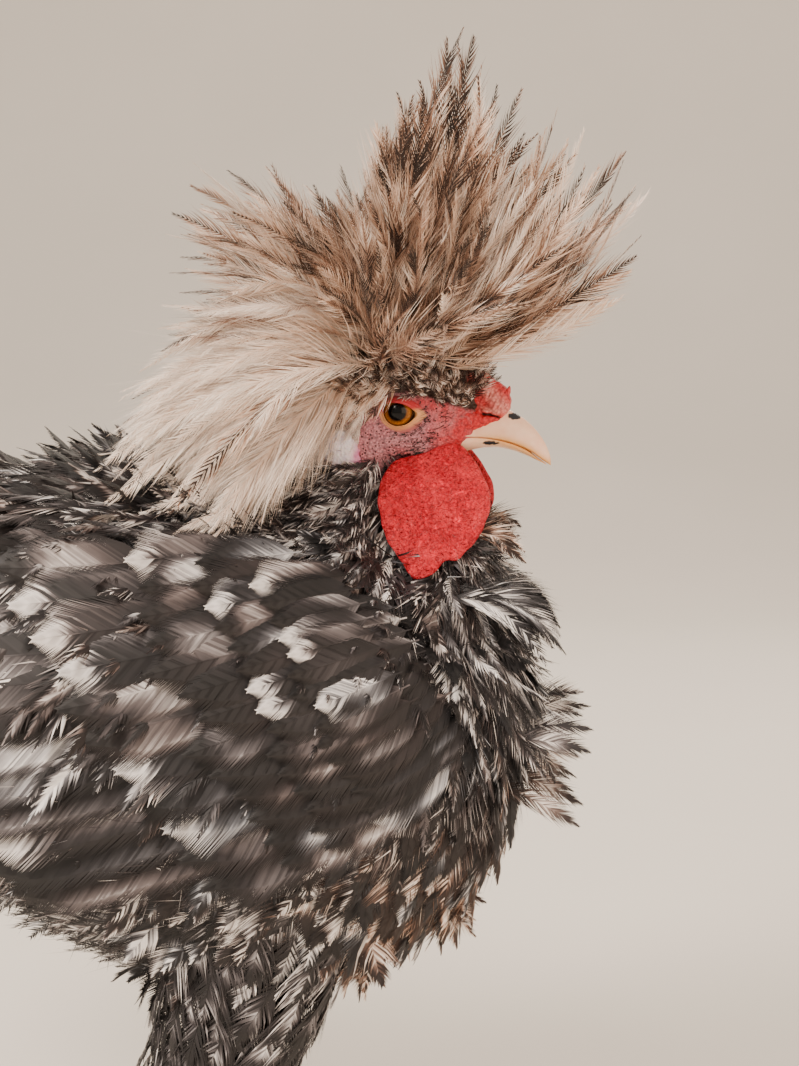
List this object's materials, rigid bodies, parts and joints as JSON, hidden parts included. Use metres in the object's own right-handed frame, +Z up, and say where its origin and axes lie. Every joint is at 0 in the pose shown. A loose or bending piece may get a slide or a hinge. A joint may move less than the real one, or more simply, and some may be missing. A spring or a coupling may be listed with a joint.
{
  "type": "polish crested chicken",
  "caption": "Life-size still model of a standing crested cockerel with a full domed crest, bare red face, wattles, curled dark body plumage and an upright tail.",
  "frame": {"origin": "on the floor, at the middle of the bottom of the bird's box", "axes": "+X the way the beak points, +Y the bird's left, +Z up"},
  "size_m": [0.4382, 0.1792, 0.4534],
  "materials": {
    "plumage": "soft feathers, charcoal and slate with silver and off-white mottling, faint sheen",
    "crest_plumage": "long lax feathers, buff and cream with dark brown streaks and tips",
    "flesh": "bare finely pebbled red skin, satin",
    "lobe": "smooth pale lavender skin, matte",
    "horn": "pale horn with dark marks, low gloss",
    "eye": "amber iris and black pupil under a wet clear cornea",
    "scales": "slate overlapping scales, satin",
    "claw": "dark horn, worn smooth"
  },
  "bodies": {
    "root": {"torso": "plumage", "neck": "plumage", "wing_right": "plumage", "wing_left": "plumage", "thigh_right": "plumage", "thigh_left": "plumage", "tail": "plumage", "crest": "crest_plumage", "head": "flesh", "comb": "flesh", "wattle_right": "flesh", "wattle_left": "flesh", "earlobe_right": "lobe", "earlobe_left": "lobe", "beak_upper": "horn", "beak_lower": "horn", "eye_right": "eye", "eye_left": "eye", "foot_right": "scales", "foot_left": "scales", "spur_right": "claw", "spur_left": "claw", "claw_inner_right": "claw", "claw_middle_right": "claw", "claw_outer_right": "claw", "claw_hind_right": "claw", "claw_inner_left": "claw", "claw_middle_left": "claw", "claw_outer_left": "claw", "claw_hind_left": "claw"}
  },
  "joints": []
}
